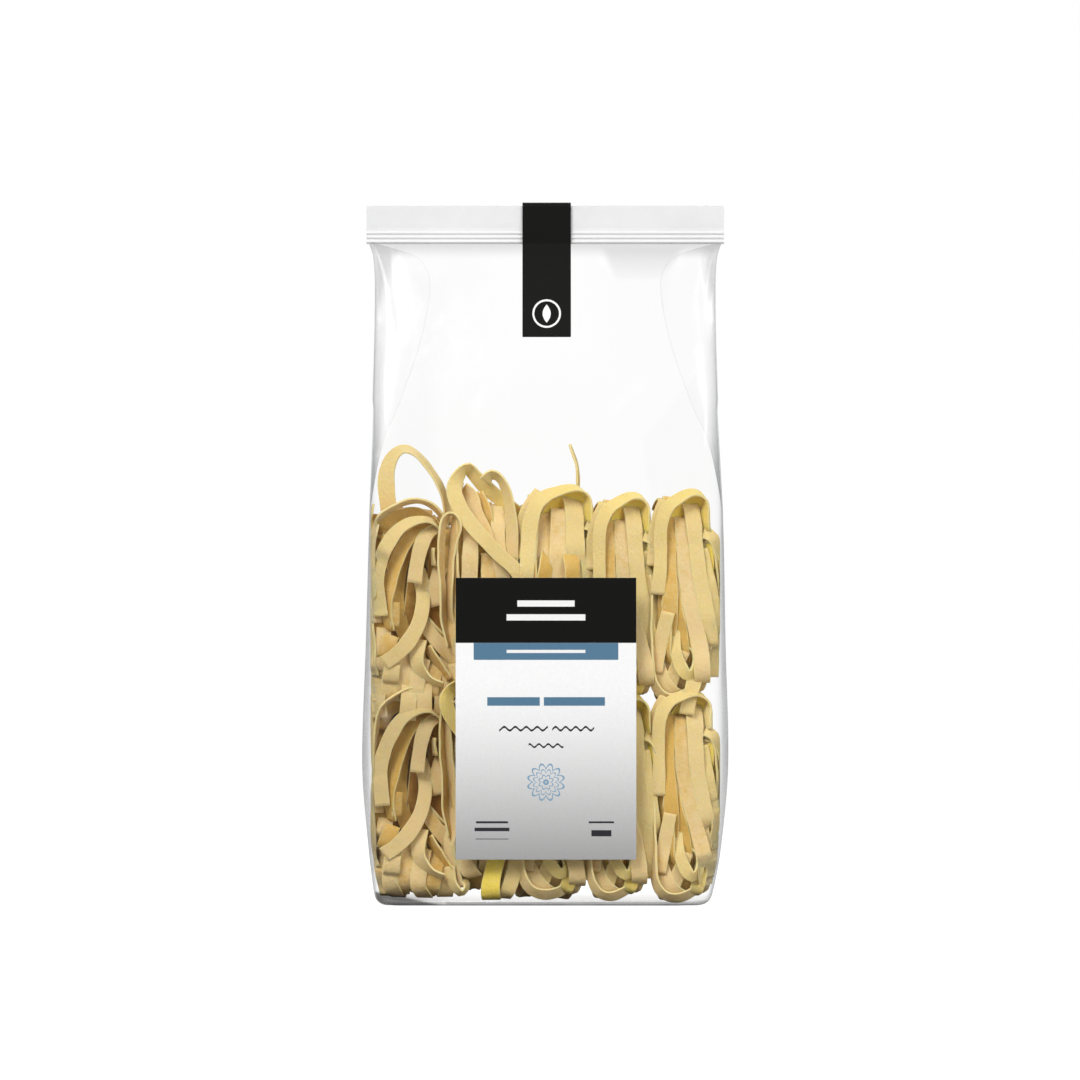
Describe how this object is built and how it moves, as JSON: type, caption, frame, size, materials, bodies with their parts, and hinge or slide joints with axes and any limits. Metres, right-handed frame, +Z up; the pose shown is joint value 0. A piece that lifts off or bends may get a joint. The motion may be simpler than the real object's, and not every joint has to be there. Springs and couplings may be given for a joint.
{
  "type": "bag of dry pasta nests",
  "caption": "Clear upright side-gusseted bag of dried ribbon pasta nests in two rows, with a ribbed flat header, a dark closing strip folded over it and a plain front label.",
  "frame": {"origin": "middle of the base that the bag stands on, at the middle of its outline", "axes": "+Z up through the header, +X to the right of the label, -Y out through the label"},
  "size_m": [0.1544, 0.0683, 0.2954],
  "materials": {
    "film_and_pasta": "clear glossy film over matte pale yellow dried pasta, with a flat ribbed header of milky film",
    "label_paper": "satin printed label, white with a dark field at its top and a muted blue bar",
    "strip_paper": "satin near-black printed strip"
  },
  "bodies": {
    "root": {"bag": "film_and_pasta", "front_label": "label_paper", "closing_strip": "strip_paper"}
  },
  "joints": []
}
